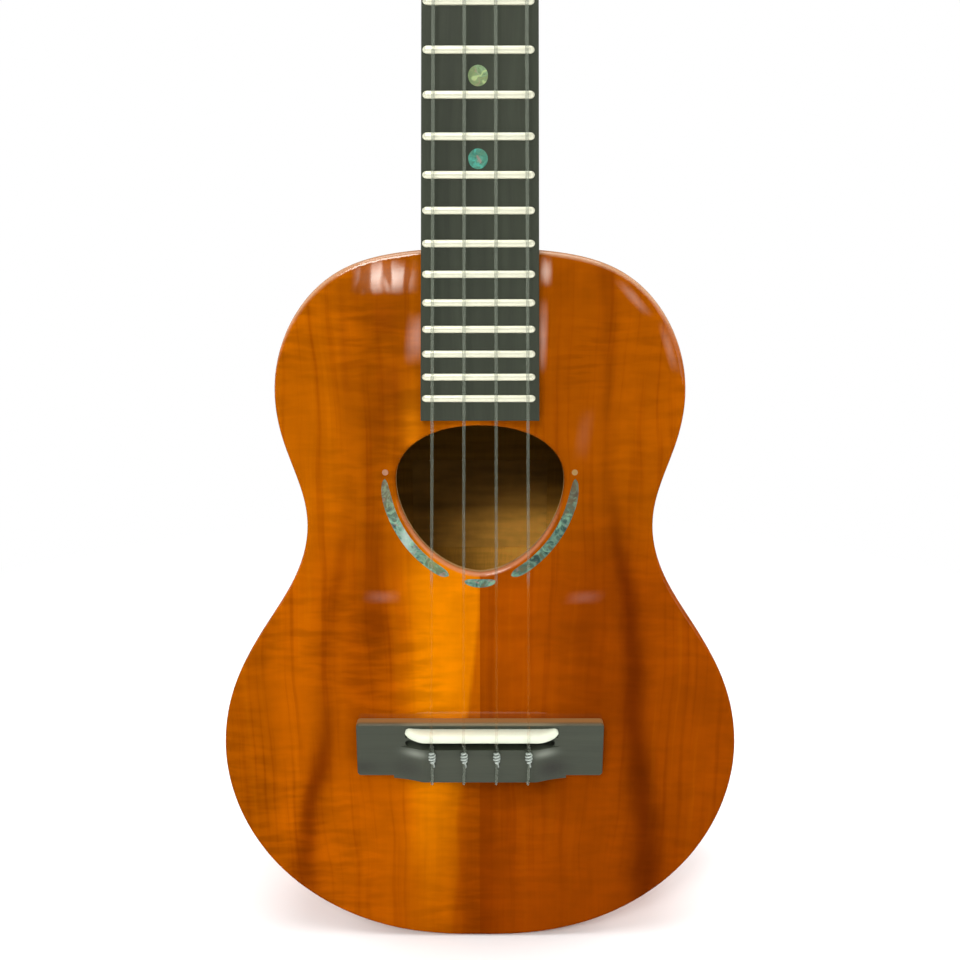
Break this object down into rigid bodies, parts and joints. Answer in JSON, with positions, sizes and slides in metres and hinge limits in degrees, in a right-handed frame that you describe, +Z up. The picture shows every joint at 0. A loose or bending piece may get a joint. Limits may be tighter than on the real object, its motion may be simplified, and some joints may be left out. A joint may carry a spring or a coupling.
{
  "type": "ukulele",
  "caption": "Four-string tenor ukulele with a waisted koa body, egg-shaped soundhole with shell arcs, dark fretboard and tie bridge, and open-gear tuners on an angled head.",
  "frame": {"origin": "on the back's outer face, on the centre line, straight behind the saddle line", "axes": "+Z up the neck towards the head, -Y out of the soundboard, +X to the side of the first string"},
  "size_m": [0.2152, 0.0847, 0.6791],
  "materials": {
    "koa_top": "deep gloss lacquer over curly bookmatched koa",
    "koa_back": "deep gloss lacquer over koa",
    "koa_head": "gloss lacquer over koa veneer",
    "neck_wood": "satin lacquer over mahogany",
    "dark_wood": "oiled satin dark hardwood",
    "inner_wood": "bare sanded softwood",
    "shell": "polished shell inlay",
    "bone": "polished cream bone",
    "cream_inlay": "polished cream inlay",
    "fret_metal": "polished nickel silver",
    "label_paper": "plain uncoated paper, blank",
    "string_nylon": "smooth clear grey line",
    "button_pearl": "polished pale plastic",
    "tuner_metal": "bright plated steel",
    "gear_brass": "turned brass"
  },
  "bodies": {
    "instrument": {"back_left": "koa_back", "back_lining_left": "inner_wood", "back_lining_right": "inner_wood", "back_right": "koa_back", "bridge": "dark_wood", "bridge_plate": "inner_wood", "fan_braces": "inner_wood", "fretboard": "dark_wood", "frets": "fret_metal", "front_lining_left": "inner_wood", "front_lining_right": "inner_wood", "head_veneer": "koa_head", "heel_cap": "neck_wood", "inner_label": "label_paper", "lower_back_brace": "inner_wood", "lower_transverse_brace": "inner_wood", "neck": "neck_wood", "neck_block": "inner_wood", "nut": "bone", "position_dots": "shell", "post_ferrules": "tuner_metal", "rosette_dots": "cream_inlay", "rosette_inlay": "shell", "saddle": "bone", "side_dots": "cream_inlay", "side_left": "koa_back", "side_right": "koa_back", "soundboard_left": "koa_top", "soundboard_right": "koa_top", "soundhole_ring": "inner_wood", "string_a": "string_nylon", "string_c": "string_nylon", "string_e": "string_nylon", "string_g": "string_nylon", "tail_block": "inner_wood", "tuner_plates": "tuner_metal", "tuner_screws": "tuner_metal", "upper_back_brace": "inner_wood", "upper_transverse_brace": "inner_wood"},
    "winder_g": {"tuner_shaft_g": "tuner_metal", "tuner_button_g": "button_pearl"},
    "capstan_g": {"tuner_post_g": "tuner_metal", "tuner_gear_g": "gear_brass", "string_winding_g": "string_nylon"},
    "winder_c": {"tuner_shaft_c": "tuner_metal", "tuner_button_c": "button_pearl"},
    "capstan_c": {"tuner_post_c": "tuner_metal", "tuner_gear_c": "gear_brass", "string_winding_c": "string_nylon"},
    "winder_e": {"tuner_shaft_e": "tuner_metal", "tuner_button_e": "button_pearl"},
    "capstan_e": {"tuner_post_e": "tuner_metal", "tuner_gear_e": "gear_brass", "string_winding_e": "string_nylon"},
    "winder_a": {"tuner_shaft_a": "tuner_metal", "tuner_button_a": "button_pearl"},
    "capstan_a": {"tuner_post_a": "tuner_metal", "tuner_gear_a": "gear_brass", "string_winding_a": "string_nylon"}
  },
  "joints": [
    {"name": "winder_g_turn", "type": "hinge", "parent": "instrument", "child": "winder_g", "pos_m": [-0.0165, -0.04156, 0.48129], "axis": [1, 0, 0], "continuous": true},
    {"name": "capstan_g_turn", "type": "hinge", "parent": "instrument", "child": "capstan_g", "pos_m": [-0.0165, -0.05855, 0.47792], "axis": [0, -0.9744, 0.225], "continuous": true},
    {"name": "winder_c_turn", "type": "hinge", "parent": "instrument", "child": "winder_c", "pos_m": [-0.0185, -0.03211, 0.52221], "axis": [1, 0, 0], "continuous": true},
    {"name": "capstan_c_turn", "type": "hinge", "parent": "instrument", "child": "capstan_c", "pos_m": [-0.0185, -0.0491, 0.51885], "axis": [0, -0.9744, 0.225], "continuous": true},
    {"name": "winder_e_turn", "type": "hinge", "parent": "instrument", "child": "winder_e", "pos_m": [0.0185, -0.03211, 0.52221], "axis": [1, 0, 0], "continuous": true},
    {"name": "capstan_e_turn", "type": "hinge", "parent": "instrument", "child": "capstan_e", "pos_m": [0.0185, -0.0491, 0.51885], "axis": [0, -0.9744, 0.225], "continuous": true},
    {"name": "winder_a_turn", "type": "hinge", "parent": "instrument", "child": "winder_a", "pos_m": [0.0165, -0.04156, 0.48129], "axis": [1, 0, 0], "continuous": true},
    {"name": "capstan_a_turn", "type": "hinge", "parent": "instrument", "child": "capstan_a", "pos_m": [0.0165, -0.05855, 0.47792], "axis": [0, -0.9744, 0.225], "continuous": true}
  ],
  "couplings": [
    {"joint": "capstan_g_turn", "follows": "winder_g_turn", "ratio": 0.071429},
    {"joint": "capstan_c_turn", "follows": "winder_c_turn", "ratio": 0.071429},
    {"joint": "capstan_e_turn", "follows": "winder_e_turn", "ratio": 0.071429},
    {"joint": "capstan_a_turn", "follows": "winder_a_turn", "ratio": 0.071429}
  ]
}
